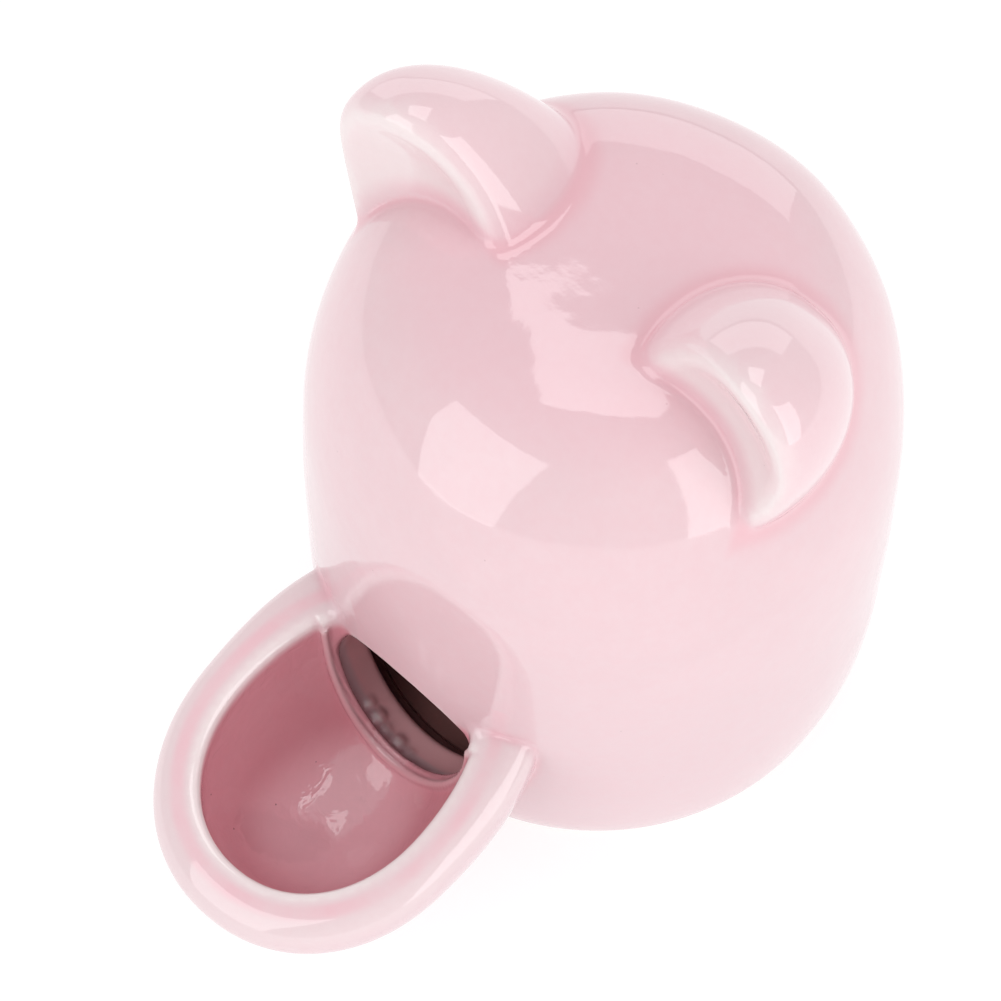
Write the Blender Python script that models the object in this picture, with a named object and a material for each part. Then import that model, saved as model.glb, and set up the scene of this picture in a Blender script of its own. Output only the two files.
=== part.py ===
"""Glazed ceramic animal: a hollow round body with two ears and a dish that opens from its mouth.

Millimetres in the constants, metres in the scene. The dish points to -Y, +Z is up, z = 0 is the table.
Shapes are drawn about the upright axis of the body, and every object stands at AXIS_Y, which puts the
middle of the whole part over the origin.
"""

import math

import bmesh
import bpy
from mathutils import Matrix, Vector

MM = 0.001
AXIS_Y = 19.75

# Body: a tall soft-shouldered dome, cast hollow, drawn in a little at the foot.
BODY_RADIUS = 42.0
BODY_HEIGHT = 92.6
BODY_WIDEST_Z = 26.0
FOOT_RADIUS = 38.1
DOME_POWER = 3.88
SKIRT_POWER = 1.9
WALL = 4.5
BODY_SEGMENTS = 72

# Floor of the body: a disc luted into the foot ring, with the emptying hole.
FOOT_BORE_RADIUS = 34.3
FOOT_BORE_TOP = 5.3
BASE_RADIUS = 34.0
BASE_UNDER_Z = 2.2
BASE_TOP_Z = 5.0
EMPTYING_HOLE_RADIUS = 13.0

# Mouth: an upright oval through the front wall.
MOUTH_HALF_WIDTH = 13.6
MOUTH_HALF_HEIGHT = 15.3
MOUTH_Z = 20.4

# Dish: a deep tongue-shaped bowl whose rim slopes down to the front.
DISH_CENTRE_Y = -55.6
DISH_HALF_WIDTH = 23.7
DISH_FRONT = 25.9
DISH_BACK = 36.0
DISH_LOW_SHIFT = 9.6  # how far the lowest point lies behind the middle of the plan
DISH_UNDER_Z = 1.6
DISH_PLAN_POWER = 2.1
DISH_SIDE_POWER = 1.85
RIM_Z = 34.5
RIM_Y = -39.0
RIM_SLOPE = 0.25
RIM_THICK = 6.8
DISH_FLOOR = 3.4
DISH_SEGMENTS = 60
BAND_THICK = 1.4

# Ears: upright paddles, rounder at the back and hollowed in front, that run down inside the head.
EAR_CENTRE = (16.4, 2.0, 71.9)
EAR_RADII = (15.3, 18.9, 39.5)
EAR_POWER = 2.42
EAR_TILT = math.radians(24.2)
EAR_LEAN = math.radians(16.4)
EAR_TURN = math.radians(10.2)
EAR_HOLLOW_CENTRE = (23.3, -33.9, 94.0)
EAR_HOLLOW_RADIUS = 27.1

# Stopper: a soft cup that fills the emptying hole from below.
PLUG_RADIUS = 12.7
PLUG_TOP_Z = 10.5
FLANGE_RADIUS = 16.5
FLANGE_UNDER_Z = 0.5
FLANGE_TOP_Z = 1.9

SEAM = 0.3  # glaze-width gap left between two pieces that touch


def material(name, colour, roughness, coat=0.0):
    made = bpy.data.materials.new(name)
    made.use_nodes = True
    shader = made.node_tree.nodes["Principled BSDF"]
    shader.inputs["Base Color"].default_value = (*colour, 1.0)
    shader.inputs["Roughness"].default_value = roughness
    shader.inputs["Coat Weight"].default_value = coat
    made.diffuse_color = (*colour, 1.0)
    return made


def add_object(name, bm, surface=None, smooth_angle=math.radians(35.0)):
    """Adds a mesh in millimetres as a scene object in metres, shaded smooth across soft edges."""
    bmesh.ops.recalc_face_normals(bm, faces=bm.faces)
    for face in bm.faces:
        face.smooth = True
    for edge in bm.edges:
        if len(edge.link_faces) == 2 and edge.calc_face_angle(0.0) > smooth_angle:
            edge.smooth = False
    bmesh.ops.scale(bm, vec=(MM, MM, MM), verts=bm.verts)
    mesh = bpy.data.meshes.new(name)
    bm.to_mesh(mesh)
    bm.free()
    made = bpy.data.objects.new(name, mesh)
    made.location.y = AXIS_Y * MM
    bpy.context.collection.objects.link(made)
    if surface is None:
        made.hide_render = True
        made.display_type = "WIRE"
    else:
        mesh.materials.append(surface)
    return made


def loft(rings):
    """Skins a run of rings. A ring of one point is a pole, and both ends are closed."""
    bm = bmesh.new()
    rows = [[bm.verts.new(point) for point in ring] for ring in rings]
    for low, high in zip(rows, rows[1:]):
        count = max(len(low), len(high))
        for i in range(count):
            j = (i + 1) % count
            if len(low) == 1:
                bm.faces.new((low[0], high[i], high[j]))
            elif len(high) == 1:
                bm.faces.new((low[i], high[0], low[j]))
            else:
                bm.faces.new((low[i], high[i], high[j], low[j]))
    return bm


def turned(profile, segments):
    """A body of revolution about Z from (radius, height) points, the first and last on the axis."""
    rings = []
    for radius, height in profile:
        if radius < 1e-6:
            rings.append([Vector((0.0, 0.0, height))])
            continue
        rings.append(
            [
                Vector((radius * math.cos(a), radius * math.sin(a), height))
                for a in (math.tau * i / segments for i in range(segments))
            ]
        )
    return loft(rings)


def power(value, exponent):
    return math.copysign(abs(value) ** exponent, value)


def dome(radius, height, steps):
    """Upper profile from the top of the axis down to the widest point."""
    points = []
    for i in range(steps + 1):
        angle = math.pi / 2 * (1 - i / steps)
        points.append(
            (
                radius * power(math.cos(angle), 2 / DOME_POWER) if i else 0.0,
                BODY_WIDEST_Z + (height - BODY_WIDEST_Z) * math.sin(angle) ** (2 / DOME_POWER),
            )
        )
    return points


def skirt(inset, lowest, steps):
    """Lower profile from just under the widest point down to the height named."""
    points = []
    for i in range(1, steps + 1):
        angle = math.pi / 2 * i / steps
        height = BODY_WIDEST_Z * (1 - math.sin(angle) ** (2 / SKIRT_POWER))
        swell = (BODY_RADIUS - FOOT_RADIUS) * power(math.cos(angle), 2 / SKIRT_POWER)
        if height <= lowest + 0.8:
            break
        points.append((FOOT_RADIUS - inset + swell, height))
    return points


def body_outline(grow):
    """The outer skin of the body, pushed outwards, as a closed solid of revolution."""
    outer = dome(BODY_RADIUS + grow, BODY_HEIGHT + grow, 20) + skirt(-grow, 0.0, 12)
    return outer + [(FOOT_RADIUS + 0.9 + grow, 0.25), (FOOT_RADIUS + grow, -grow), (0.0, -grow)]


def make_body(surface):
    outer = body_outline(0.0)[:-1]
    inner = skirt(WALL, FOOT_BORE_TOP, 9)[::-1]
    inner = inner + dome(BODY_RADIUS - WALL, BODY_HEIGHT - WALL, 14)[::-1]
    foot = [
        (FOOT_BORE_RADIUS + 0.5, 0.0),
        (FOOT_BORE_RADIUS, 0.5),
        (FOOT_BORE_RADIUS, FOOT_BORE_TOP),
        (inner[0][0] - 0.3, FOOT_BORE_TOP),
    ]
    return add_object("body_shell", turned(outer + foot + inner, BODY_SEGMENTS), surface)


def mouth_cutter(name, grow, near_y, far_y):
    rings = []
    for y in (near_y, far_y):
        rings.append(
            [
                Vector(
                    (
                        (MOUTH_HALF_WIDTH + grow) * math.cos(a),
                        y,
                        MOUTH_Z + (MOUTH_HALF_HEIGHT + grow) * math.sin(a),
                    )
                )
                for a in (math.tau * i / 56 for i in range(56))
            ]
        )
    middle = [[Vector((0.0, near_y, MOUTH_Z))], *rings, [Vector((0.0, far_y, MOUTH_Z))]]
    return add_object(name, loft(middle))


def rim_height(y):
    return RIM_Z + RIM_SLOPE * (y - RIM_Y)


def dish_ring(inset, spread, rise, floor_z, drop):
    """One level of the dish. Spread 1 is its full plan, rise 1 is the rim line less the drop."""
    ring = []
    for i in range(DISH_SEGMENTS):
        angle = math.tau * i / DISH_SEGMENTS
        across = power(math.cos(angle), 2 / DISH_PLAN_POWER) * (DISH_HALF_WIDTH - inset)
        reach = DISH_BACK if math.sin(angle) > 0 else DISH_FRONT
        along = power(math.sin(angle), 2 / DISH_PLAN_POWER) * (reach - inset)
        x, y = across * spread, DISH_CENTRE_Y + along * spread + DISH_LOW_SHIFT * (1 - spread)
        ring.append(Vector((x, y, floor_z + (rim_height(y) - drop - floor_z) * rise)))
    return ring


def dish_side(inset, floor_z, drop, steps):
    """Rings from the middle of the floor out and up to the rim line."""
    rings = [[Vector((0.0, DISH_CENTRE_Y + DISH_LOW_SHIFT, floor_z))]]
    for i in range(1, steps + 1):
        angle = math.pi / 2 * i / steps
        spread = math.sin(angle) ** (2 / DISH_SIDE_POWER)
        rise = 1 - math.cos(angle) ** (2 / DISH_SIDE_POWER) if i < steps else 1.0
        rings.append(dish_ring(inset, spread, rise, floor_z, drop))
    return rings


def make_dish(surface):
    half = RIM_THICK / 2
    outer = dish_side(0.0, DISH_UNDER_Z, half, 12)
    inner = dish_side(RIM_THICK, DISH_UNDER_Z + DISH_FLOOR, half, 10)
    rim = []
    for i in range(1, 6):
        turn = math.pi * i / 6
        rim.append(dish_ring(half - half * math.cos(turn), 1.0, 1.0, 0.0, half - half * math.sin(turn)))
    dish = add_object("dish", loft(outer + rim + inner[::-1]), surface)

    filling = dish_side(half, DISH_UNDER_Z + DISH_FLOOR / 2, half + 1.0, 10)
    band = add_object("band_blank", loft(filling + [[Vector((0.0, DISH_CENTRE_Y, 20.0))]]))
    cut(band, add_object("band_front", turned(body_outline(BAND_THICK), BODY_SEGMENTS)), "INTERSECT")
    cut(dish, band, "UNION")
    cut(dish, add_object("body_room", turned(body_outline(SEAM), BODY_SEGMENTS)))
    cut(dish, mouth_cutter("dish_mouth_cut", 0.0, -44.4, -20.0))
    return dish


def cut(target, tool, operation="DIFFERENCE"):
    step = target.modifiers.new(operation.lower() + "_" + tool.name, "BOOLEAN")
    step.operation = operation
    step.solver = "EXACT"
    step.object = tool


def sphere(radii, turn, centre, across, around, fullness=2.0):
    """A sphere stretched to three radii. Fullness above 2 squares up its upright outline."""
    bm = bmesh.new()
    bmesh.ops.create_uvsphere(bm, u_segments=around, v_segments=across, radius=1.0)
    for vert in bm.verts:
        x, y, z = vert.co
        outline = (abs(x) ** fullness + abs(z) ** fullness) ** (2 / fullness)
        vert.co /= math.sqrt(outline + y * y)
    shape = Matrix.Translation(centre) @ turn @ Matrix.Diagonal((*radii, 1.0))
    bmesh.ops.transform(bm, matrix=shape, verts=bm.verts)
    return bm


def make_ear(name, side, surface):
    """A rounded paddle that leans forwards and outwards, scooped in front and cut off by the head."""
    across = Vector((math.cos(EAR_TILT), 0.0, -math.sin(EAR_TILT)))
    upward = Vector((math.sin(EAR_TILT), 0.0, math.cos(EAR_TILT)))
    back = Vector((0.0, 1.0, 0.0))
    turned_across = across * math.cos(EAR_TURN) + back * math.sin(EAR_TURN)
    turned_back = back * math.cos(EAR_TURN) - across * math.sin(EAR_TURN)
    long_axis = upward * math.cos(EAR_LEAN) - turned_back * math.sin(EAR_LEAN)
    deep_axis = turned_back * math.cos(EAR_LEAN) + upward * math.sin(EAR_LEAN)
    axes = Matrix((turned_across, deep_axis, long_axis)).transposed().to_4x4()
    mirror = Matrix.Diagonal((side, 1.0, 1.0, 1.0))
    paddle = sphere(EAR_RADII, mirror @ axes, mirror @ Vector(EAR_CENTRE), 48, 52, EAR_POWER)
    ear = add_object(name, paddle, surface)
    hollow = sphere(
        (EAR_HOLLOW_RADIUS,) * 3, Matrix.Identity(4), mirror @ Vector(EAR_HOLLOW_CENTRE), 40, 80
    )
    cut(ear, add_object(name + "_hollow", hollow))
    cut(ear, add_object(name + "_seat", turned(body_outline(SEAM), BODY_SEGMENTS)))
    return ear


def make_base(surface):
    profile = [
        (0.0, BASE_TOP_Z),
        (BASE_RADIUS - 0.6, BASE_TOP_Z),
        (BASE_RADIUS, BASE_TOP_Z - 0.6),
        (BASE_RADIUS, BASE_UNDER_Z + 0.6),
        (BASE_RADIUS - 0.6, BASE_UNDER_Z),
        (0.0, BASE_UNDER_Z),
    ]
    base = add_object("base_plate", turned(profile, BODY_SEGMENTS), surface)
    hole = [
        (0.0, BASE_TOP_Z + 2.0),
        (EMPTYING_HOLE_RADIUS, BASE_TOP_Z + 2.0),
        (EMPTYING_HOLE_RADIUS, BASE_UNDER_Z - 2.0),
        (0.0, BASE_UNDER_Z - 2.0),
    ]
    cut(base, add_object("emptying_hole_cut", turned(hole, 64)))
    return base


def make_stopper(surface):
    wall = 2.2
    cup = [
        (0.0, FLANGE_TOP_Z + 1.6),
        (PLUG_RADIUS - wall - 0.6, FLANGE_TOP_Z + 1.6),
        (PLUG_RADIUS - wall, FLANGE_TOP_Z + 2.2),
        (PLUG_RADIUS - wall, PLUG_TOP_Z - 0.5),
        (PLUG_RADIUS - wall + 0.5, PLUG_TOP_Z),
        (PLUG_RADIUS - 0.8, PLUG_TOP_Z),
        (PLUG_RADIUS - 0.3, PLUG_TOP_Z - 0.7),
        (PLUG_RADIUS, BASE_TOP_Z),
        (PLUG_RADIUS, FLANGE_TOP_Z),
        (FLANGE_RADIUS - 0.5, FLANGE_TOP_Z),
        (FLANGE_RADIUS, FLANGE_TOP_Z - 0.5),
        (FLANGE_RADIUS, FLANGE_UNDER_Z + 0.5),
        (FLANGE_RADIUS - 0.5, FLANGE_UNDER_Z),
        (0.0, FLANGE_UNDER_Z),
    ]
    stopper = add_object("stopper", turned(cup, 56), surface)
    # Two half-round finger wells either side of a pull bar.
    for name, side in (("well_left_cut", -1.0), ("well_right_cut", 1.0)):
        rings = []
        for z, grow in ((FLANGE_UNDER_Z - 1.0, 0.0), (FLANGE_UNDER_Z + 1.3, 0.0)):
            arc = [math.pi * i / 16 - math.pi / 2 for i in range(17)]
            rings.append(
                [Vector((side * (2.0 + 7.0 * math.cos(a)), 7.0 * math.sin(a), z)) for a in arc]
            )
        bm = bmesh.new()
        rows = [[bm.verts.new(point) for point in ring] for ring in rings]
        bm.faces.new(rows[0])
        bm.faces.new(rows[1])
        for i in range(17):
            j = (i + 1) % 17
            bm.faces.new((rows[0][i], rows[0][j], rows[1][j], rows[1][i]))
        cut(stopper, add_object(name, bm))
    return stopper


def build():
    for old in list(bpy.data.objects):
        bpy.data.objects.remove(old, do_unlink=True)
    glaze = material("pink_glaze", (0.85, 0.52, 0.56), 0.12, 0.6)
    bisque = material("base_bisque", (0.84, 0.72, 0.69), 0.55)
    rubber = material("stopper_rubber", (0.78, 0.78, 0.76), 0.6)

    body = make_body(glaze)
    cut(body, mouth_cutter("body_mouth_cut", 0.0, -60.0, -20.0))
    make_dish(glaze)
    make_ear("ear_left", -1.0, glaze)
    make_ear("ear_right", 1.0, glaze)
    make_base(bisque)
    make_stopper(rubber)


build()
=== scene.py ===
"""Looks for the glazed ceramic animal with a dish.

One continuous glazed skin covers the body, the dish and the ears. A turned bisque base closes the foot, and
the stopper keeps its CAD shape under a rubber finish.

The skin is a distance field in millimetres about the upright axis of the body, meshed with surface nets.
Every grid point inside it carries the label of the piece it belongs to, so the four glazed pieces meet on
shared points and no seam shows, as on the fired piece. Everything placed in the scene is in metres.
"""

import math

import bpy
import numpy as np
from mathutils import Matrix, Quaternion, Vector


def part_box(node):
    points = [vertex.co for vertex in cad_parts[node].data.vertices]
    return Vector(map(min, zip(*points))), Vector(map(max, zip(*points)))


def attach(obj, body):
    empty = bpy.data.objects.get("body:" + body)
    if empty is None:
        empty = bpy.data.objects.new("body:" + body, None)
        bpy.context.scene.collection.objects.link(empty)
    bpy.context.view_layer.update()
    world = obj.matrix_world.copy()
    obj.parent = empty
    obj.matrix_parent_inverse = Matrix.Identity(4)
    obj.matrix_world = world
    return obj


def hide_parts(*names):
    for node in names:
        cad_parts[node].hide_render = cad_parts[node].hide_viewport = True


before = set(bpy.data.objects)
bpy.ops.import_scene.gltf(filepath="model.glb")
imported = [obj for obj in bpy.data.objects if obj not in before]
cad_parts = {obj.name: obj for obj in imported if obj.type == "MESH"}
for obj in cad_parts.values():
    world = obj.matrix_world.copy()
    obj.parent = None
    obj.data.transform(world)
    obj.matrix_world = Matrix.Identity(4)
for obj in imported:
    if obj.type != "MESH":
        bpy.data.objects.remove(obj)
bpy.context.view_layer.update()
MM = 0.001

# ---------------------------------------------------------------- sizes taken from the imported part
body_low, body_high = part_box("body_shell")
dish_low, dish_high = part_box("dish")
base_low, base_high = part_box("base_plate")
AXIS_Y = (body_low.y + body_high.y) / 2 / MM
BODY_RADIUS = (body_high.x - body_low.x) / 2 / MM
BODY_HEIGHT = body_high.z / MM
DISH_HALF_WIDTH = (dish_high.x - dish_low.x) / 2 / MM
DISH_TIP_Y = dish_low.y / MM - AXIS_Y
DISH_UNDER_Z = dish_low.z / MM

# ---------------------------------------------------------------- shape constants, millimetres
BODY_WIDEST_Z = 26.0
FOOT_RADIUS = 38.1
DOME_POWER = 3.88
SKIRT_POWER = 1.9
WALL = 4.5
FOOT_BORE_RADIUS = 34.3
FOOT_BORE_TOP = 5.3
EMPTYING_HOLE_RADIUS = 13.0
HAND_WAVE = 0.11  # how far the hand-finished body strays from a true turned shape
CAVITY_FOOT_BLEND = 0.6
BORE_INTO_CAVITY = 0.5
BORE_TOP_BLEND = 0.4
BORE_EDGE_ROUNDING = 0.9

DISH_FRONT = 25.9
DISH_BACK = 36.0
DISH_CENTRE_Y = DISH_TIP_Y + DISH_FRONT
DISH_PLAN_POWER = 2.1
DISH_SIDE_POWER = 1.85
DISH_LOW_SHIFT = 9.6
RIM_Z = 34.5
RIM_Y = -39.0
RIM_SLOPE = 0.25
RIM_THICK = 6.8
DISH_FLOOR = 3.4
BOWL_BACK = 24.0
DISH_SWELL = 0.8  # how far the dish's outside swells between these two places
DISH_SWELL_FROM_Y, DISH_SWELL_TO_Y = DISH_CENTRE_Y - 4.0, -38.0
RIM_ROUNDING = 4.2
BOWL_EDGE_ROUNDING = 1.8
DISH_JOINT_BLEND = 0.6
BOWL_JOINT_BLEND = 1.2  # added to the joint's blend inside the bowl
DISH_LET_IN = 0.5
BAND_REACH = 3.0  # the band of slip where the bowl meets the body
BAND_STEP = 0.55
BAND_EDGE = 0.35
BAND_BEAD_IN = 0.2
BAND_BEAD_RADIUS = 0.45
BAND_BEAD_BELOW_RIM = 2.2
BAND_BEAD_BLEND = 0.7

MOUTH_HALF_WIDTH = 13.6
MOUTH_HALF_HEIGHT = 13.8
MOUTH_Z = 21.9
MOUTH_PAST_BODY = 1.0
MOUTH_FRONT_BLEND = 1.2
MOUTH_EDGE_ROUNDING = 1.0
# (angle round the mouth in degrees, radius) of each bead of glaze on its lower lip
LIP_DROPS = ((231.0, 0.9), (241.0, 1.3), (250.0, 0.7), (261.0, 1.2), (271.0, 0.6))
DROPS_PAST_EDGE = 0.3
DROPS_UNDER_SKIN = 1.4
DROPS_SKIRT_Z, DROPS_SKIRT_SLOPE = 8.0, 0.25  # they follow the skirt inwards below this height
DROPS_BLEND = 0.9

EAR_CENTRE = np.array((16.4, 2.0, 71.9))
EAR_RADII = np.array((15.3, 18.9, 39.5))
EAR_POWER = 2.42
EAR_TILT = math.radians(24.2)
EAR_LEAN = math.radians(16.4)
EAR_TURN = math.radians(10.2)
EAR_HOLLOW_CENTRE = np.array((23.3, -33.9, 94.0))
EAR_HOLLOW_RADIUS = 26.8
EAR_EDGE_ROUNDING = 3.6
EAR_JOINT_BLEND = 1.2
EAR_LET_IN = 2.2

# boxes outside of which a feature's field isn't worked out
DISH_ROOM = ((-28.0, -86.0, -2.0), (28.0, -18.0, 42.0))
EAR_ROOM = ((-46.0, -30.0, 60.0), (46.0, 26.0, 114.0))
MOUTH_ROOM = ((-20.0, -50.0, 1.0), (20.0, -20.0, 42.0))

# ---------------------------------------------------------------- meshing
# The label of each glazed piece in the grid, where 0 is air, with its name and the CAD node it stands for.
BODY, DISH, EAR_LEFT, EAR_RIGHT = 1, 2, 3, 4
GLAZED = {
    BODY: ("glazed_body", "body_shell"),
    DISH: ("glazed_dish", "dish"),
    EAR_LEFT: ("glazed_ear_left", "ear_left"),
    EAR_RIGHT: ("glazed_ear_right", "ear_right"),
}
FAR = 30.0
GRID_LOW = np.array((-46.0, DISH_TIP_Y - 4.0, -4.0))
GRID_HIGH = np.array((46.0, 46.0, 114.0))
COARSE_STEP = 2.0
HALVINGS, HALVINGS_QUICK = 2, 1
CLOSE_CELLS = 2.7  # how many cells from the skin the grid is sampled again


# ---------------------------------------------------------------- distance fields
def soft_min(a, b, k):
    """The smaller of two distances, blended where they differ by less than k."""
    h = np.clip(0.5 + 0.5 * (b - a) / k, 0.0, 1.0)
    return b * (1 - h) + a * h - k * h * (1 - h)


def soft_max(a, b, k):
    return -soft_min(-a, -b, k)


def smooth_step(low, high, x):
    t = np.clip((x - low) / (high - low), 0.0, 1.0)
    return t * t * (3 - 2 * t)


def superellipse(a, b, power):
    """1 on the superellipse with half axes of 1, less inside it and more outside."""
    return (a**power + b**power) ** (1 / power)


def profile_field(across, up, width, rise, power):
    """Distance to a superellipse with these half axes, from a place across and up from its centre."""
    a, b = across / width, up / rise
    g = np.maximum(superellipse(a, b, power), 0.05)
    slope = np.hypot((a / g) ** (power - 1) / width, (b / g) ** (power - 1) / rise)
    return (g - 1) / np.maximum(slope, 1e-4)


def turned_field(p, inset):
    """Distance to the dome-and-skirt shape of the body, drawn in by the inset."""
    r, above = np.hypot(p[:, 0], p[:, 1]), p[:, 2] - BODY_WIDEST_Z
    radius, height, foot = BODY_RADIUS - inset, BODY_HEIGHT - inset, FOOT_RADIUS - inset
    dome = profile_field(r, np.maximum(above, 0.0), radius, height - BODY_WIDEST_Z, DOME_POWER)
    skirt = profile_field(
        np.maximum(r - foot, 0.0), np.maximum(-above, 0.0), radius - foot, BODY_WIDEST_Z, SKIRT_POWER
    )
    return np.where(above >= 0, dome, np.maximum(skirt, r - radius))


def bowl_field(p, inset):
    """Distance to the tongue-shaped bowl, drawn in by the inset. Outside, it is lowest towards the body."""
    share = inset / RIM_THICK
    width, front = DISH_HALF_WIDTH - inset, DISH_FRONT - inset
    back = DISH_BACK + share * (BOWL_BACK - DISH_BACK)
    low_shift = DISH_LOW_SHIFT * (1 - share)
    floor_z = DISH_UNDER_Z + min(inset, DISH_FLOOR)

    def level(x, y, z):
        top = RIM_Z + RIM_SLOPE * (y - RIM_Y) - RIM_THICK / 2
        drop = 1 - np.clip((z - floor_z) / np.maximum(top - floor_z, 1.0), -3, 1)
        spread = (1 - np.clip(drop, 0, 0.97) ** DISH_SIDE_POWER) ** (1 / DISH_SIDE_POWER)
        along = y - (DISH_CENTRE_Y + low_shift * (1 - spread))
        reach = np.where(along < 0, front, back)
        plan = superellipse(np.abs(x / width), np.abs(along / reach), DISH_PLAN_POWER)
        return superellipse(plan, drop, DISH_SIDE_POWER)

    x, y, z = p.T
    e = 0.05
    here = level(x, y, z)
    slope = np.sqrt(
        (level(x + e, y, z) - here) ** 2
        + (level(x, y + e, z) - here) ** 2
        + (level(x, y, z + e) - here) ** 2
    )
    return np.clip((here - 1) / np.maximum(slope / e, 0.01), -12, FAR)


def rim_height(p):
    """Height above the sloping plane of the rim."""
    return (p[:, 2] - RIM_Z - RIM_SLOPE * (p[:, 1] - RIM_Y)) / math.hypot(1, RIM_SLOPE)


def dish_field(p, body):
    """Distance to the dish: its wall and rim, and the band and bead of slip where it meets the body."""
    outer = bowl_field(p, 0.0)
    outer -= DISH_SWELL * smooth_step(DISH_SWELL_FROM_Y, DISH_SWELL_TO_Y, p[:, 1])
    inner = bowl_field(p, RIM_THICK)
    up = rim_height(p)
    band = smooth_step(BAND_REACH + BAND_EDGE, BAND_REACH - BAND_EDGE, body)
    wall = soft_max(
        soft_max(outer, up, RIM_ROUNDING), -inner - BAND_STEP * band, BOWL_EDGE_ROUNDING
    )
    bead = np.hypot(body - BAND_REACH + BAND_BEAD_IN, inner + BAND_STEP) - BAND_BEAD_RADIUS
    bead = np.maximum(bead, up + BAND_BEAD_BELOW_RIM)
    return soft_min(wall, bead, BAND_BEAD_BLEND)


def lip_drops(p):
    """Beads of glaze that ran together on the lower lip of the mouth."""
    value = np.full(len(p), FAR)
    for angle, size in LIP_DROPS:
        a = math.radians(angle)
        x = (MOUTH_HALF_WIDTH + DROPS_PAST_EDGE) * math.cos(a)
        z = MOUTH_Z + (MOUTH_HALF_HEIGHT + DROPS_PAST_EDGE) * math.sin(a)
        skirt = DROPS_SKIRT_SLOPE * (DROPS_SKIRT_Z - min(z, DROPS_SKIRT_Z))
        reach = BODY_RADIUS - DROPS_UNDER_SKIN - skirt
        centre = np.array((x, -math.sqrt(reach**2 - x**2), z))
        value = np.minimum(value, np.linalg.norm(p - centre, axis=1) - size)
    return value


def ear_axes():
    """Across, deep and long axes of the right ear, tilted, leant and turned."""
    across = np.array((math.cos(EAR_TILT), 0.0, -math.sin(EAR_TILT)))
    upward = np.array((math.sin(EAR_TILT), 0.0, math.cos(EAR_TILT)))
    back = np.array((0.0, 1.0, 0.0))
    turned_across = across * math.cos(EAR_TURN) + back * math.sin(EAR_TURN)
    turned_back = back * math.cos(EAR_TURN) - across * math.sin(EAR_TURN)
    long_axis = upward * math.cos(EAR_LEAN) - turned_back * math.sin(EAR_LEAN)
    deep_axis = turned_back * math.cos(EAR_LEAN) + upward * math.sin(EAR_LEAN)
    return np.stack((turned_across, deep_axis, long_axis))


EAR_AXES = ear_axes()


def ear_field(p):
    """Distance to the pair of ears: a rounded paddle scooped by a ball in front."""
    q = p.copy()
    q[:, 0] = np.abs(q[:, 0])
    u = (q - EAR_CENTRE) @ EAR_AXES.T / EAR_RADII
    a, depth, c = np.abs(u[:, 0]), np.abs(u[:, 1]), np.abs(u[:, 2])
    g = np.maximum(superellipse(a, c, EAR_POWER), 1e-3)
    f = np.maximum(np.hypot(g, depth), 1e-3)
    slope = np.sqrt(
        (g / f * (a / g) ** (EAR_POWER - 1) / EAR_RADII[0]) ** 2
        + (depth / f / EAR_RADII[1]) ** 2
        + (g / f * (c / g) ** (EAR_POWER - 1) / EAR_RADII[2]) ** 2
    )
    paddle = (f - 1) / np.maximum(slope, 1e-4)
    ball = np.linalg.norm(q - EAR_HOLLOW_CENTRE, axis=1) - EAR_HOLLOW_RADIUS
    return soft_max(paddle, -ball, EAR_EDGE_ROUNDING)


def near(p, low, high):
    """Whether each point lies in the box."""
    return np.all((p > low) & (p < high), axis=1)


def mouth_field(p):
    """Distance to the oval tunnel of the mouth, negative in the opening."""
    a, c = p[:, 0] / MOUTH_HALF_WIDTH, (p[:, 2] - MOUTH_Z) / MOUTH_HALF_HEIGHT
    g = np.maximum(np.hypot(a, c), 0.05)
    return (g - 1) / np.hypot(a / g / MOUTH_HALF_WIDTH, c / g / MOUTH_HALF_HEIGHT)


def skin_field(p):
    """Distance to the whole glazed skin: negative in the clay."""
    body = turned_field(p, 0.0)
    wave = HAND_WAVE * np.sin(p[:, 0] * 0.19 + 1.3 * np.sin(p[:, 2] * 0.11)) * np.sin(
        p[:, 1] * 0.17 + p[:, 2] * 0.13 + 0.8
    )
    body = body + wave * smooth_step(1.0, 6.0, p[:, 2])
    value = body.copy()
    part = near(p, *DISH_ROOM)
    if part.any():
        q, b = p[part], body[part]
        dish = dish_field(q, b)
        inside = smooth_step(-1.0, -3.4, bowl_field(q, RIM_THICK / 2))
        value[part] = soft_min(b, dish, DISH_JOINT_BLEND + BOWL_JOINT_BLEND * inside)
    part = near(p, *EAR_ROOM)
    if part.any():
        value[part] = soft_min(body[part], ear_field(p[part]), EAR_JOINT_BLEND)
    cavity = soft_max(turned_field(p, WALL), FOOT_BORE_TOP - p[:, 2], CAVITY_FOOT_BLEND)
    above_bore = p[:, 2] - FOOT_BORE_TOP - BORE_INTO_CAVITY
    bore = soft_max(np.hypot(p[:, 0], p[:, 1]) - FOOT_BORE_RADIUS, above_bore, BORE_TOP_BLEND)
    value = np.maximum(value, -cavity)
    value = soft_max(value, -bore, BORE_EDGE_ROUNDING)
    part = near(p, *MOUTH_ROOM)
    if part.any():
        oval = soft_max(mouth_field(p[part]), body[part] - MOUTH_PAST_BODY, MOUTH_FRONT_BLEND)
        value[part] = soft_max(value[part], -oval, MOUTH_EDGE_ROUNDING)
        value[part] = soft_min(value[part], lip_drops(p[part]), DROPS_BLEND)
    return value


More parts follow.
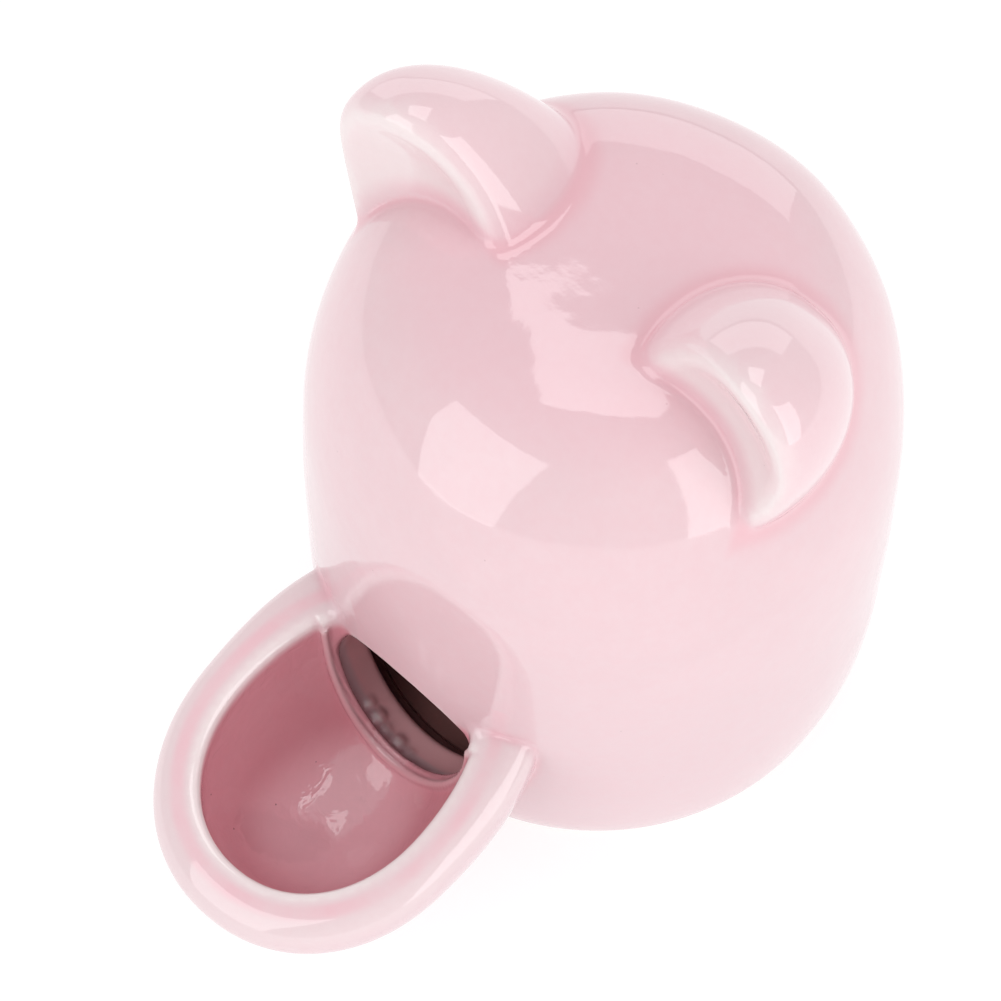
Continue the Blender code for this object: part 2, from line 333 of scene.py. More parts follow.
def labels_of(p):
    """The piece each point of clay belongs to. Ears and dish are let a little into the wall."""
    body = turned_field(p, 0.0)
    label = np.full(len(p), BODY, np.int8)
    part = np.nonzero((body > -EAR_LET_IN) & near(p, *EAR_ROOM))[0]
    ear = part[ear_field(p[part]) < body[part]]
    label[ear] = np.where(p[ear, 0] < 0, EAR_LEFT, EAR_RIGHT)
    part = np.nonzero((body > -DISH_LET_IN) & near(p, *DISH_ROOM))[0]
    label[part[dish_field(p[part], body[part]) < body[part]]] = DISH
    return label


# ---------------------------------------------------------------- surface nets
def halved(grid):
    """The same grid at half the spacing, filled in between."""
    for axis in range(3):
        grid = np.moveaxis(grid, axis, 0)
        fine = np.empty((2 * grid.shape[0] - 1, *grid.shape[1:]), np.float32)
        fine[::2] = grid
        fine[1::2] = (grid[:-1] + grid[1:]) / 2
        grid = np.moveaxis(fine, 0, axis)
    return grid


def in_blocks(function, p, block=250_000):
    """The function of many points, worked out a block at a time to spare memory."""
    parts = [function(p[i : i + block]) for i in range(0, len(p), block)]
    return np.concatenate(parts) if parts else np.zeros(0)


def sampled_skin(halvings):
    """(values, labels, lowest corner, spacing) of a grid over the skin, sampled finely only close to it."""
    low, step = GRID_LOW, COARSE_STEP
    count = np.ceil((GRID_HIGH - low) / step).astype(int) + 1
    ticks = [low[k] + step * np.arange(count[k]) for k in range(3)]
    grid = np.stack(np.meshgrid(*ticks, indexing="ij"), -1)
    values = in_blocks(skin_field, grid.reshape(-1, 3)).reshape(count).astype(np.float32)
    for _ in range(halvings):
        values, step = halved(values), step / 2
        close = np.nonzero(np.abs(values) < CLOSE_CELLS * step)
        values[close] = in_blocks(skin_field, low + step * np.stack(close, 1))
    values[values == 0] = 1e-6
    labels = np.zeros(values.shape, np.int8)
    solid = np.nonzero(values < 0)
    labels[solid] = in_blocks(labels_of, low + step * np.stack(solid, 1))
    return values, labels, low, step


CORNERS = [(i, j, k) for i in (0, 1) for j in (0, 1) for k in (0, 1)]
EDGES = [
    (a, b)
    for a in range(8)
    for b in range(a + 1, 8)
    if sum(abs(CORNERS[a][k] - CORNERS[b][k]) for k in range(3)) == 1
]


def surface_nets(values, labels, low, step):
    """(points, which of them lie outside, {label: (outer quads, hidden quads)}) of the labelled grid."""
    size = [n - 1 for n in labels.shape]

    def corner(grid, i, j, k):
        return grid[i : size[0] + i, j : size[1] + j, k : size[2] + k]

    lowest = np.minimum.reduce([corner(labels, *c) for c in CORNERS])
    highest = np.maximum.reduce([corner(labels, *c) for c in CORNERS])
    cells = np.nonzero(lowest != highest)
    where = np.stack(cells, 1)
    index = np.full(size, -1, np.int64)
    index[cells] = np.arange(len(where))
    value = np.stack([corner(values, *c)[cells] for c in CORNERS], 1).astype(float)
    label = np.stack([corner(labels, *c)[cells] for c in CORNERS], 1)
    total, count = np.zeros((len(where), 3)), np.zeros(len(where))
    for a, b in EDGES:
        differ = label[:, a] != label[:, b]
        surface = differ & ((label[:, a] == 0) | (label[:, b] == 0))
        share = np.where(
            surface, value[:, a] / np.where(surface, value[:, a] - value[:, b], 1.0), 0.5
        )
        ca, cb = np.array(CORNERS[a], float), np.array(CORNERS[b], float)
        total += np.where(differ[:, None], ca + share[:, None] * (cb - ca), 0.0)
        count += differ
    points = low + step * (where + total / count[:, None])
    outside = (label == 0).any(1)
    outer, hidden = {piece: [] for piece in GLAZED}, {piece: [] for piece in GLAZED}
    for axis in range(3):
        one, two = (axis + 1) % 3, (axis + 2) % 3
        near_side = np.moveaxis(labels, axis, 0)[:-1]
        far_side = np.moveaxis(labels, axis, 0)[1:]
        found = np.nonzero(near_side != far_side)
        others = [k for k in range(3) if k != axis]
        at = np.empty((len(found[0]), 3), np.int64)
        at[:, axis], at[:, others[0]], at[:, others[1]] = found
        ends = near_side[found], far_side[found]
        ring = []
        for da, db in ((-1, -1), (0, -1), (0, 0), (-1, 0)):
            cell = at.copy()
            cell[:, one] += da
            cell[:, two] += db
            ring.append(index[cell[:, 0], cell[:, 1], cell[:, 2]])
        quad = np.stack(ring, 1)
        joint = (ends[0] != 0) & (ends[1] != 0)
        for made, kind in ((outer, ~joint), (hidden, joint)):
            for label_now in made:
                made[label_now].append(quad[kind & (ends[0] == label_now)])
                made[label_now].append(quad[kind & (ends[1] == label_now)][:, ::-1])
    return points, outside, {k: (np.concatenate(outer[k]), np.concatenate(hidden[k])) for k in outer}


def gradient(p, e):
    """Slope of the skin's field, by differences over e to each side."""
    steps = np.eye(3) * e
    return np.stack(
        [in_blocks(skin_field, p + s) - in_blocks(skin_field, p - s) for s in steps], 1
    ) / (2 * e)


def unit(vectors):
    return vectors / np.maximum(np.linalg.norm(vectors, axis=1), 1e-9)[:, None]


def settled(points, step):
    """Points moved onto the skin, with its outward normals there."""
    start = points
    for e in (0.3 * step, 0.12):
        slope = gradient(points, e)
        square = np.maximum((slope**2).sum(1), 0.05)
        for _ in range(2):
            off = np.clip(in_blocks(skin_field, points) / square, -step, step)
            points = points - off[:, None] * slope
    astray = np.linalg.norm(points - start, axis=1) > 0.7 * step
    points[astray] = start[astray]
    return points, unit(gradient(points, 0.06))


def mesh_normals(points, quads):
    """Normals averaged from the outer faces around each point."""
    total = np.zeros_like(points)
    for outer, _ in quads.values():
        corner = points[outer]
        face = np.cross(corner[:, 2] - corner[:, 0], corner[:, 3] - corner[:, 1])
        for i in range(4):
            for k in range(3):
                total[:, k] += np.bincount(outer[:, i], face[:, k], len(points))
    return unit(total)


def fanned(hidden, outside):
    """Triangles of the hidden quads, each split through a buried point, so that none lies in the skin."""
    first = np.argmin(outside[hidden], axis=1)
    turn = (first[:, None] + np.arange(4)) % 4
    q = np.take_along_axis(hidden, turn, 1)
    return np.concatenate((q[:, [0, 1, 2]], q[:, [0, 2, 3]]))


def spread_over(values, pairs, degree, rounds):
    """Evens values out over the mesh by repeated averaging with the neighbours."""
    count = len(values)
    for _ in range(rounds):
        total = np.bincount(pairs[:, 0], values[pairs[:, 1]], count)
        total += np.bincount(pairs[:, 1], values[pairs[:, 0]], count)
        values = 0.4 * values + 0.6 * total / degree
    return values


# Shares of thin, pale glaze, partly a painted highlight, and of pooled, deeper glaze, partly painted shade,
# by where they lie.
THIN_AND_HIGHLIGHT_ON_EDGES, THIN_ON_EARS, THIN_IN_SCOOPS, THIN_AND_HIGHLIGHT_ON_RIM = 0.9, 0.26, 0.6, 0.4
POOL_AND_SHADE_IN_CREASES, POOL_AND_SHADE_IN_HOLLOWS = 0.8, 0.2
POOL_AND_SHADE_BELOW_EARS, POOL_AND_SHADE_BEHIND_EARS = 0.13, 0.49


def glaze_maps(points, normal, outside, quads, step):
    """The glaze at each point: thin on edges, pooled in creases, deep in the dish and none on the foot,
    with painted highlights on edges, painted shade in creases and the inside, and painted light on the bowl
    floor and the mouth's lip.
    """
    pairs = np.concatenate([q[:, (i, (i + 1) % 4)] for q, _ in quads.values() for i in range(4)])
    pairs = np.unique(np.sort(pairs, 1), axis=0)
    pairs = pairs[outside[pairs].all(1)]
    count = len(points)
    degree = np.maximum(
        np.bincount(pairs[:, 0], minlength=count) + np.bincount(pairs[:, 1], minlength=count), 1
    )
    middle = np.stack(
        [
            np.bincount(pairs[:, 0], points[pairs[:, 1], k], count)
            + np.bincount(pairs[:, 1], points[pairs[:, 0], k], count)
            for k in range(3)
        ],
        1,
    )
    bend = ((points - middle / degree[:, None]) * normal).sum(1) / step**2
    bend = np.clip(bend, -0.6, 0.6)
    rounds = int(round(5 / step**2))
    fine = spread_over(bend, pairs, degree, max(rounds // 5, 2))
    broad = spread_over(fine, pairs, degree, rounds)

    # Thin and pale on edges, ears, ear scoops and the top of the rim; on edges, ear ridges and the rim this
    # also paints highlights.
    body = turned_field(points, 0.0)
    inner = bowl_field(points, RIM_THICK)
    lip = rim_height(points)
    ears = np.where(near(points, *EAR_ROOM), smooth_step(0.8, 5.0, body), 0.0)
    mirrored = np.abs(points[:, 0])[:, None] * (1, 0, 0) + points * (0, 1, 1)
    ball = np.linalg.norm(mirrored - EAR_HOLLOW_CENTRE, axis=1) - EAR_HOLLOW_RADIUS
    scoop = ears * smooth_step(1.6, 0.4, ball)
    in_dish = near(points, *DISH_ROOM)
    rim_top = in_dish * smooth_step(-5.0, -1.5, lip) * smooth_step(0.2, 1.6, body)
    thin = THIN_AND_HIGHLIGHT_ON_EDGES * smooth_step(0.03, 0.14, fine) + THIN_ON_EARS * ears
    thin = np.clip(thin + THIN_IN_SCOOPS * scoop + THIN_AND_HIGHLIGHT_ON_RIM * rim_top, 0, 1)

    # Pooled glaze and painted shade in creases, in wide hollows and at the foot of the ears, most behind
    # them.
    pooled = POOL_AND_SHADE_IN_CREASES * smooth_step(-0.06, -0.28, fine)
    pooled += POOL_AND_SHADE_IN_HOLLOWS * smooth_step(-0.01, -0.08, broad)
    apart = ear_field(points) + 2.2 * np.maximum(body - 0.3, 0.0)
    behind = smooth_step(-1.2, 1.2, ball)
    ear_foot = near(points, *EAR_ROOM) * smooth_step(1.0 + 2.0 * behind, 0.2, apart)
    pooled = np.where(ears > 0, 0.3 * pooled, pooled)
    pooled += (POOL_AND_SHADE_BELOW_EARS + POOL_AND_SHADE_BEHIND_EARS * behind) * ear_foot
    pooled = np.clip(pooled, 0, 1) * (1 - 0.8 * scoop)

    # The cut edge of the mouth, painted brighter than its shade; the bowl below its rim, painted lighter on
    # its floor; and the unlit inside behind them, painted dark as shade.
    # Painted light: the lip of the mouth lies in shade, so it is painted a brighter pink.
    reveal = near(points, *MOUTH_ROOM) * smooth_step(2.4, 1.2, np.abs(mouth_field(points)))
    reveal *= smooth_step(-0.2, -1.2, body)
    bowl = smooth_step(1.2, -0.4, inner - 0.4) * smooth_step(-0.8, -3.4, lip)
    # Painted highlight: less of the deep bowl pink is laid on the bead of slip, so it shows as a paler
    # line.
    bead = smooth_step(0.8, 0.3, np.abs(body - BAND_REACH + BAND_BEAD_IN))
    bead *= smooth_step(1.5, 0.5, inner)
    bowl *= smooth_step(-5.0, -3.6, body) * in_dish * (1 - 0.3 * bead)
    # Painted light: the deep bowl pink is painted paler low on the bowl's floor and by the band, where more
    # light falls.
    bowl_painted_light = np.maximum(
        smooth_step(13.5, 5.5, points[:, 2]), 0.15 * smooth_step(3.2, 2.4, body)
    )
    # Painted shade: the inside behind the wall and the mouth is painted dark, because no light reaches it.
    hidden = smooth_step(-3.7, -5.0, body) * (1 - reveal)

    # A flush along the middle of the rim, and bare clay on the foot and in its bore.
    across_rim = smooth_step(1.8, 2.8, inner) * smooth_step(4.8, 3.6, inner)
    flush = across_rim * smooth_step(-2.2, -0.6, lip) * smooth_step(-1.0, 1.0, body) * in_dish
    radius = np.hypot(points[:, 0], points[:, 1])
    bore = smooth_step(FOOT_BORE_RADIUS + 1.6, FOOT_BORE_RADIUS + 0.2, radius)
    bore *= smooth_step(FOOT_BORE_TOP - 2.0, FOOT_BORE_TOP - 3.0, points[:, 2])
    bare = smooth_step(1.0, 0.35, points[:, 2]) + bore
    return {
        "thin_glaze_and_highlight": thin,
        "pooled_glaze_and_shade": pooled,
        "bowl_glaze": np.clip(bowl, 0, 1),
        "rim_flush": np.clip(flush, 0, 1),
        "bowl_painted_light": bowl_painted_light,
        "cavity": np.clip(hidden, 0, 1),
        "mouth_edge_painted_light": np.clip(reveal, 0, 1),
        "bare_clay": np.clip(bare, 0, 1),
    }


def add_mesh(name, points, faces, normals=None, maps=None):
    """A smooth-shaded object of these points in metres, with the maps as attributes of its points."""
    mesh = bpy.data.meshes.new(name)
    mesh.from_pydata(points.tolist(), [], faces)
    mesh.polygons.foreach_set("use_smooth", np.ones(len(mesh.polygons), bool))
    for key, values in (maps or {}).items():
        layer = mesh.attributes.new(key, "FLOAT", "POINT")
        layer.data.foreach_set("value", values.astype(np.float32))
    if normals is not None:
        mesh.normals_split_custom_set_from_vertices(normals.tolist())
    made = bpy.data.objects.new(name, mesh)
    bpy.context.collection.objects.link(made)
    return made


def make_skin():
    """The four glazed pieces, cut from one skin and meeting on shared points."""
    values, labels, low, step = sampled_skin(HALVINGS)
    points, outside, quads = surface_nets(values, labels, low, step)
    shift = np.array((0.0, AXIS_Y, 0.0))
    normal = np.zeros_like(points)
    normal[:, 2] = 1.0
    points[outside], normal[outside] = settled(points[outside], step)
    buried = ~outside
    depth = in_blocks(skin_field, points[buried])
    slope = unit(gradient(points[buried], 0.2))
    points[buried] -= slope * np.clip(depth + 0.7 * step, 0, step)[:, None]
    averaged = mesh_normals(points, quads)
    wrong = outside & ((normal * averaged).sum(1) < 0.9)
    normal[wrong] = averaged[wrong]
    maps = glaze_maps(points, normal, outside, quads, step)
    made = []
    for label, (name, node) in GLAZED.items():
        outer, hidden = quads[label][0], fanned(quads[label][1], outside)
        used, corners = np.unique(
            np.concatenate((outer.ravel(), hidden.ravel())), return_inverse=True
        )
        faces = corners[: outer.size].reshape(-1, 4).tolist()
        faces += corners[outer.size :].reshape(-1, 3).tolist()
        at = (points[used] + shift) * MM
        piece = add_mesh(name, at, faces, normal[used], {key: v[used] for key, v in maps.items()})
        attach(piece, "animal")
        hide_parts(node)
        made.append(piece)
    return made


# ---------------------------------------------------------------- turned base
BASE_OVERLAP = 0.15  # past the bore's wall, so that no light passes round the base
HOLE_SLACK = 0.1
RECESS_DEPTH = 0.35
BASE_SEGMENTS = 160
# (waves round the edge, height, phase) of the unevenness left by trimming by hand
UNEVEN = ((5, 0.05, 0.7), (11, 0.04, 2.1))


def rounded(corners, steps=6):
    """A closed outline of (radius, height) with each corner (radius, height, fillet) turned into an arc."""
    outline = []
    spots = [np.array(c[:2]) for c in corners]
    for i, (spot, (_, _, fillet)) in enumerate(zip(spots, corners)):
        to_last = spots[i - 1] - spot
        to_next = spots[(i + 1) % len(spots)] - spot
        start = spot + to_last / np.linalg.norm(to_last) * fillet
        end = spot + to_next / np.linalg.norm(to_next) * fillet
        for t in np.linspace(0.0, 1.0, steps):
            outline.append((1 - t) ** 2 * start + 2 * t * (1 - t) * spot + t**2 * end)
    return outline


def turned_ring(name, outline, segments):
    """A closed outline turned about the body's axis, a little uneven as a hand-trimmed edge is."""
    points, faces, count = [], [], len(outline)
    for i in range(segments):
        a = math.tau * i / segments
        uneven = sum(height * math.sin(waves * a + phase) for waves, height, phase in UNEVEN)
        for radius, height in outline:
            r = radius + uneven * (1 if radius > EMPTYING_HOLE_RADIUS + 2 else -1)
            points.append((r * math.cos(a) * MM, (r * math.sin(a) + AXIS_Y) * MM, height * MM))
        for j in range(count):
            k, following = (j + 1) % count, (i + 1) % segments
            faces.append((i * count + j, i * count + k, following * count + k, following * count + j))
    return add_mesh(name, np.array(points), faces)


def make_base():
    """The disc that closes the foot, with the emptying hole and a shallow recess in its underside."""
    # Each corner is (radius, height, fillet).
    low, high = base_low.z / MM, base_high.z / MM
    radius, hole = FOOT_BORE_RADIUS + BASE_OVERLAP, EMPTYING_HOLE_RADIUS + HOLE_SLACK
    outline = rounded(
        [
            (hole, low, 0.7),
            (hole, high, 0.7),
            (radius, high, 0.8),
            (radius, low, 0.8),
            (radius - 3.4, low, 0.5),
            (radius - 4.0, low + RECESS_DEPTH, 0.3),
            (hole + 5.0, low + RECESS_DEPTH, 0.3),
            (hole + 4.4, low, 0.5),
        ]
    )
    piece = turned_ring("trimmed_base", outline, BASE_SEGMENTS)
    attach(piece, "animal")
    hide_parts("base_plate")
    return piece


# ---------------------------------------------------------------- materials
class Nodes:
    """Short calls for building one material's node tree."""

    def __init__(self, name):
        self.material = bpy.data.materials.new(name)
        self.material.use_nodes = True
        self.tree = self.material.node_tree
        self.shader = self.tree.nodes["Principled BSDF"]

    def add(self, kind, **settings):
        node = self.tree.nodes.new("ShaderNode" + kind)
        for key, value in settings.items():
            setattr(node, key, value)
        return node

    def give(self, socket, value):
        """Links an output to the socket, or sets the socket to a constant."""
        if isinstance(value, bpy.types.NodeSocket):
            self.tree.links.new(value, socket)
        else:
            socket.default_value = value

    def feed(self, node, **inputs):
        for key, value in inputs.items():
            self.give(node.inputs[key.replace("_", " ")], value)
        return node

    def place(self):
        """The place in the object, which has no scale or turn, so in metres."""
        return self.add("TexCoord").outputs["Object"]

    def noise(self, where, scale, detail=3.0, rough=0.5, distort=0.0):
        node = self.add("TexNoise")
        self.feed(node, Vector=where, Scale=scale, Detail=detail, Roughness=rough, Distortion=distort)
        return node.outputs["Fac"]

    def maths(self, operation, a, b):
        node = self.add("Math", operation=operation)
        self.give(node.inputs[0], a)
        self.give(node.inputs[1], b)
        return node.outputs[0]

    def ramp(self, value, low, high, to_low=0.0, to_high=1.0):
        """A smooth change from to_low at low to to_high at high."""
        node = self.add("MapRange", interpolation_type="SMOOTHSTEP")
        self.feed(node, Value=value, From_Min=low, From_Max=high, To_Min=to_low, To_Max=to_high)
        return node.outputs["Result"]

    def above(self, where, height, soft=0.0002):
        """1 above the height in metres, 0 below it, with a soft change of that half width."""
        split = self.feed(self.add("SeparateXYZ"), Vector=where)
        return self.ramp(split.outputs["Z"], height - soft, height + soft)

    def mix(self, share, a, b):
        """The colour a where the share is 0 and b where it is 1. Either may be a tuple."""
        node = self.add("Mix", data_type="RGBA")
        self.give(node.inputs[0], share)
        for socket, colour in ((node.inputs[6], a), (node.inputs[7], b)):
            self.give(socket, (*colour, 1.0) if isinstance(colour, tuple) else colour)
        return node.outputs[2]

    def map(self, name):
        """One of the attributes that glaze_maps made."""
        return self.add("Attribute", attribute_type="GEOMETRY", attribute_name=name).outputs["Fac"]

    def bump(self, height, distance, strength=1.0, after=None):
        """The normal bumped by a height, on top of the bumps of an earlier normal."""
        node = self.add("Bump")
        self.feed(node, Height=height, Distance=distance, Strength=strength)
        if after is not None:
            self.give(node.inputs["Normal"], after)
        return node.outputs["Normal"]

    def finish(self, **inputs):
        """The material, with these inputs on its shader."""
        self.feed(self.shader, **inputs)
        return self.material


# Linear colours of the glaze and the bare clay, and of painted light and shade: the lip and the bowl floor
# are painted lighter, the unlit inside is painted dark, and the pale and crease colours also stand for
# highlight and shade.
PINK = (0.812, 0.590, 0.625)
PINK_LOW = (0.765, 0.560, 0.596)
PINK_TOP = (0.838, 0.560, 0.610)
PALE = (0.865, 0.755, 0.758)
FLUSH = (0.850, 0.500, 0.560)
CREASE = (0.830, 0.430, 0.490)
BOWL = (0.670, 0.255, 0.305)
BOWL_FLOOR_PAINTED_LIGHT = (0.985, 0.575, 0.640)
LIP_PAINTED_LIGHT = (0.985, 0.540, 0.570)
BISQUE = (0.800, 0.700, 0.660)
INSIDE_PAINTED_SHADE = (0.270, 0.110, 0.104)
SPECK = (0.22, 0.08, 0.09)
GRAIN = (0.72, 0.40, 0.44)

# Heights in metres where a colour changes, each with the half width of the change where it is soft.
PINK_LOW_BELOW, PINK_LOW_SOFT = 0.052, 0.025
PINK_TOP_ABOVE, PINK_TOP_SOFT = 0.0895, 0.003
BASE_PAINTED_SHADE_ABOVE = 0.0030
STOPPER_PAINTED_SHADE_ABOVE = 0.0054
GLAZE_IOR = 1.8


def glaze_material():
    """Cloudy pink glaze that follows the maps, with their painted light and shade, pinholes, fine waviness
    and bare clay on the foot.
    """
    n = Nodes("pink_glaze_fired")
    at = n.place()
    cloud = n.noise(at, 55.0, 4.0, 0.55, 0.6)
    grain = n.noise(at, 900.0, 3.0, 0.6)
    drift = n.ramp(cloud, 0.32, 0.7)
    colour = n.mix(drift, tuple(c * 0.985 for c in PINK), tuple(c * 1.015 for c in PINK))
    colour = n.mix(n.above(at, PINK_LOW_BELOW, PINK_LOW_SOFT), PINK_LOW, colour)
    colour = n.mix(n.above(at, PINK_TOP_ABOVE, PINK_TOP_SOFT), colour, PINK_TOP)
    mottle = n.noise(at, 420.0, 3.0, 0.65)
    colour = n.mix(n.ramp(mottle, 0.32, 0.68, 0.0, 0.09), colour, CREASE)
    # Pale thin glaze, which is also a painted highlight on edges, ear ridges and the rim.
    colour = n.mix(n.map("thin_glaze_and_highlight"), colour, PALE)
    flush = n.maths("MULTIPLY", n.map("rim_flush"), n.ramp(cloud, 0.3, 0.6, 0.2, 0.75))
    colour = n.mix(flush, colour, FLUSH)
    # Deeper pink of pooled glaze, which is also painted shade in creases, hollows and round the feet of the
    # ears.
    colour = n.mix(n.map("pooled_glaze_and_shade"), colour, CREASE)
    # Deep pink glaze in the bowl, painted lighter on its floor.
    bowl = n.maths("MULTIPLY", n.map("bowl_glaze"), n.ramp(cloud, 0.2, 0.8, 0.86, 1.0))
    colour = n.mix(bowl, colour, n.mix(n.map("bowl_painted_light"), BOWL, BOWL_FLOOR_PAINTED_LIGHT))
    # Painted light: the shaded lip of the mouth is painted a bright pink.
    colour = n.mix(n.map("mouth_edge_painted_light"), colour, LIP_PAINTED_LIGHT)
    # Painted shade: the unlit inside is painted a dark brownish pink.
    colour = n.mix(n.map("cavity"), colour, INSIDE_PAINTED_SHADE)
    colour = n.mix(n.ramp(grain, 0.25, 0.75, 0.05, 0.0), colour, GRAIN)
    # A pinhole at the middle of one cell in five, fainter outside the bowl.
    cells = n.feed(n.add("TexVoronoi", feature="F1"), Vector=at, Scale=260.0)
    split = n.feed(n.add("SeparateColor"), Color=cells.outputs["Color"])
    few = n.maths("GREATER_THAN", split.outputs[0], 0.80)
    hole = n.maths("MULTIPLY", n.ramp(cells.outputs["Distance"], 0.045, 0.015), few)
    hole = n.maths("MULTIPLY", hole, n.ramp(bowl, 0.1, 0.6, 0.25, 0.9))
    colour = n.mix(hole, colour, SPECK)
    bare = n.map("bare_clay")
    colour = n.mix(bare, colour, BISQUE)
    dull = n.maths(
        "MAXIMUM", n.maths("MULTIPLY", bare, 0.6), n.maths("MULTIPLY", n.map("cavity"), 0.55)
    )
    rough = n.maths("ADD", n.ramp(n.noise(at, 30.0, 2.0), 0.3, 0.7, 0.03, 0.07), dull)
    # Waviness of the fired surface, a ripple in the bowl, a fine orange peel and the pinholes.
    normal = n.bump(n.noise(at, 130.0, 2.0, 0.4), 0.00006)
    ripple = n.maths("MULTIPLY", n.noise(at, 300.0, 2.0, 0.5, 0.8), n.map("bowl_glaze"))
    normal = n.bump(ripple, 0.00016, 1.0, normal)
    normal = n.bump(n.noise(at, 650.0, 2.0, 0.5), 0.000006, 1.0, normal)
    normal = n.bump(n.maths("SUBTRACT", 1.0, hole), 0.00008, 1.0, normal)
    return n.finish(Base_Color=colour, Roughness=rough, IOR=GLAZE_IOR, Normal=normal)


def bisque_material():
    """Dry unglazed clay with a fine grain, painted dark as shade on the side that faces the unlit inside.
    """
    n = Nodes("bisque_dry")
    at = n.place()
    cloud = n.noise(at, 70.0, 5.0, 0.6)
    grain = n.noise(at, 1400.0, 3.0, 0.65)
    colour = n.mix(n.ramp(cloud, 0.3, 0.7), (0.74, 0.62, 0.58), (0.84, 0.75, 0.70))
    colour = n.mix(n.ramp(grain, 0.3, 0.75, 0.22, 0.0), colour, (0.55, 0.42, 0.38))
    # Painted shade: the top of the base, which faces the unlit inside, is painted dark.
    colour = n.mix(n.above(at, BASE_PAINTED_SHADE_ABOVE), colour, INSIDE_PAINTED_SHADE)
    normal = n.bump(grain, 0.00005)
    normal = n.bump(n.noise(at, 160.0, 3.0), 0.0002, 0.6, normal)
    return n.finish(Base_Color=colour, Roughness=n.ramp(grain, 0.2, 0.8, 0.62, 0.82), Normal=normal)


def rubber_material():
    """Pale soft rubber, painted dark as shade where the stopper stands in the unlit inside of the animal.
    """
    n = Nodes("stopper_soft_rubber")
    at = n.place()
    cloud = n.noise(at, 110.0, 3.0)
    fine = n.noise(at, 2600.0, 3.0, 0.7)
    colour = n.mix(n.ramp(cloud, 0.3, 0.7), (0.73, 0.73, 0.71), (0.80, 0.80, 0.78))
    colour = n.mix(n.ramp(fine, 0.35, 0.8, 0.08, 0.0), colour, (0.55, 0.55, 0.53))
    # Painted shade: the part of the stopper inside the animal is painted dark.
    colour = n.mix(n.above(at, STOPPER_PAINTED_SHADE_ABOVE), colour, INSIDE_PAINTED_SHADE)
    return n.finish(
        Base_Color=colour,
        Roughness=n.ramp(fine, 0.2, 0.8, 0.42, 0.6),
        Normal=n.bump(fine, 0.00002),
        Subsurface_Weight=0.15,
        Subsurface_Scale=0.002,
    )


# ---------------------------------------------------------------- building
glaze = glaze_material()
for glazed in make_skin():
    glazed.data.materials.append(glaze)

make_base().data.materials.append(bisque_material())

# The stopper's CAD shape is right, so it stays and gets its own finish.
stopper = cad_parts["stopper"]
stopper.data.materials.clear()
stopper.data.materials.append(rubber_material())

# ---------------------------------------------------------------- studio
AXIS = np.array((0.0, AXIS_Y, BODY_HEIGHT / 2)) * MM
WORLD_STRENGTH = 0.673
FLOOR_GLOW = 0.665
FLOOR_HALF = 3.0
FLOOR_Z = -0.1 * MM  # just clear of the foot
# (name, azimuth and elevation in degrees, distance, width and height in metres, radiance, roll in radians)
PANELS = (
    ("key_left", -10.0, 25.0, 1.2, 0.76, 1.44, 1.25, 0.07),
    ("key_right", 92.0, 25.0, 1.2, 0.76, 1.44, 1.50, -0.257),
    ("top", 207.8, 75.6, 1.3, 0.555, 0.68, 1.38, 0.036),
    ("back", 222.0, 18.0, 1.8, 2.4, 1.0, 0.70, 0.0),
)


def panel(name, azimuth, elevation, distance, width, height, radiance, roll):
    """A soft box that faces the body. Azimuth 0 is in front of the dish and 90 on its right."""
    a, e = math.radians(azimuth), math.radians(elevation)
    back = np.array((math.sin(a) * math.cos(e), -math.cos(a) * math.cos(e), math.sin(e)))
    light = bpy.data.lights.new(name, "AREA")
    light.shape = "RECTANGLE"
    light.size, light.size_y = width, height
    light.energy = radiance * math.pi * width * height
    lamp = bpy.data.objects.new(name, light)
    bpy.context.collection.objects.link(lamp)
    lamp.location = Vector(AXIS + back * distance)
    lamp.rotation_mode = "QUATERNION"
    lamp.rotation_quaternion = Vector(-back).to_track_quat("-Z", "Y") @ Quaternion((0, 0, 1), roll)
    lamp.visible_camera = False


for settings in PANELS:
    panel(*settings)

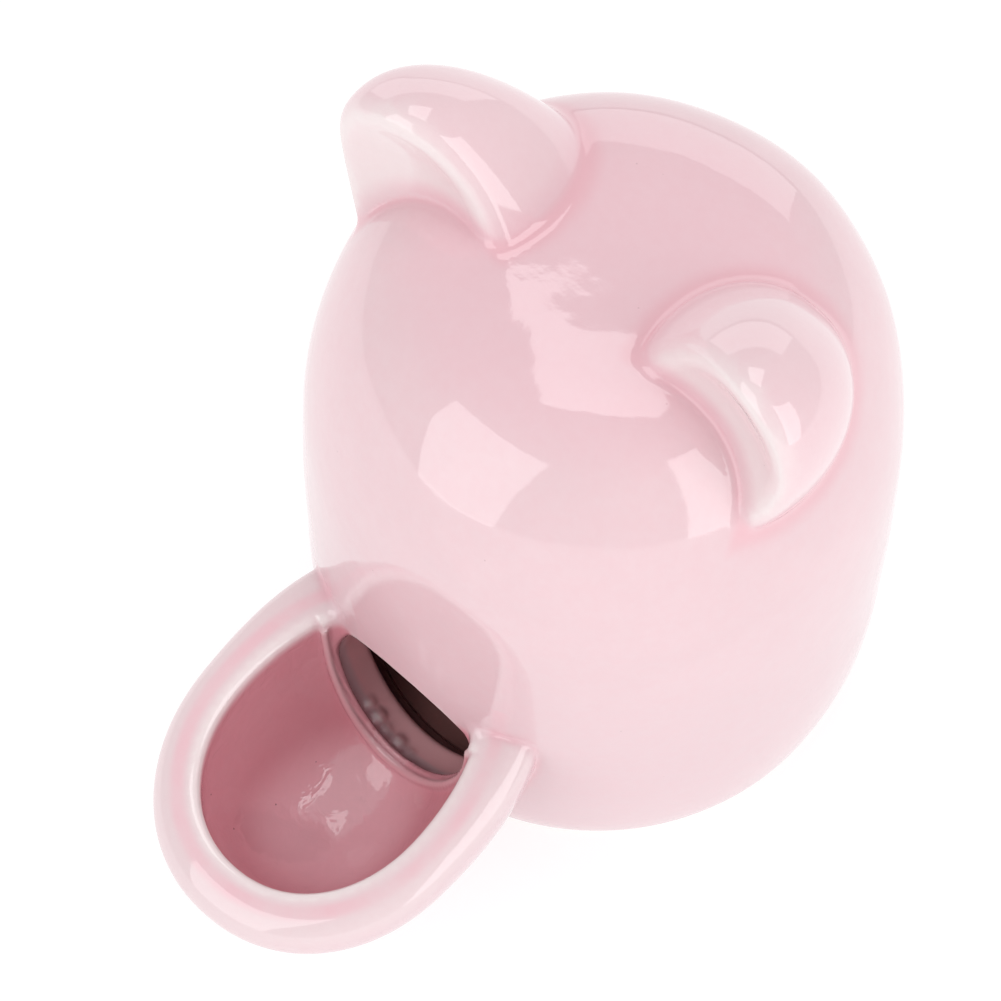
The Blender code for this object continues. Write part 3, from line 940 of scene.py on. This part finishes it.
world = bpy.data.worlds.new("studio")
world.use_nodes = True
sky = world.node_tree.nodes["Background"]
sky.inputs["Color"].default_value = (1.0, 1.0, 1.0, 1.0)
sky.inputs["Strength"].default_value = WORLD_STRENGTH
bpy.context.scene.world = world

floor_mesh = bpy.data.meshes.new("floor")
corners = [(x * FLOOR_HALF, y * FLOOR_HALF, FLOOR_Z) for x, y in ((-1, -1), (1, -1), (1, 1), (-1, 1))]
floor_mesh.from_pydata(corners, [], [(0, 1, 2, 3)])
floor = bpy.data.objects.new("floor", floor_mesh)
bpy.context.collection.objects.link(floor)
paper = Nodes("white_paper")
paper.finish(
    Base_Color=(0.4, 0.4, 0.4, 1.0),
    Roughness=0.9,
    Emission_Color=(1.0, 1.0, 1.0, 1.0),
    Emission_Strength=FLOOR_GLOW,
)
floor_mesh.materials.append(paper.material)

# ---------------------------------------------------------------- camera
CAMERA_AZIMUTH = math.radians(42.9)
CAMERA_ELEVATION = math.radians(60.9)
CAMERA_DISTANCE = 503.4 * MM
CAMERA_RIGHT, CAMERA_UP = 14.19 * MM, 7.87 * MM
FOCAL_SHARE = 3584.0 / 1001.0  # focal length over the width of the picture

back = np.array(
    (
        math.sin(CAMERA_AZIMUTH) * math.cos(CAMERA_ELEVATION),
        -math.cos(CAMERA_AZIMUTH) * math.cos(CAMERA_ELEVATION),
        math.sin(CAMERA_ELEVATION),
    )
)
right = np.array((math.cos(CAMERA_AZIMUTH), math.sin(CAMERA_AZIMUTH), 0.0))
up = np.cross(back, right)
lens = bpy.data.cameras.new("camera")
lens.sensor_width = 36.0
lens.lens = 36.0 * FOCAL_SHARE
lens.clip_start, lens.clip_end = 0.05, 20.0
camera = bpy.data.objects.new("camera", lens)
bpy.context.collection.objects.link(camera)
stand = AXIS - CAMERA_RIGHT * right - CAMERA_UP * up + CAMERA_DISTANCE * back
camera.matrix_world = Matrix(
    [(right[k], up[k], back[k], stand[k]) for k in range(3)] + [(0.0, 0.0, 0.0, 1.0)]
)
bpy.context.scene.camera = camera
bpy.context.scene.view_settings.view_transform = "Standard"
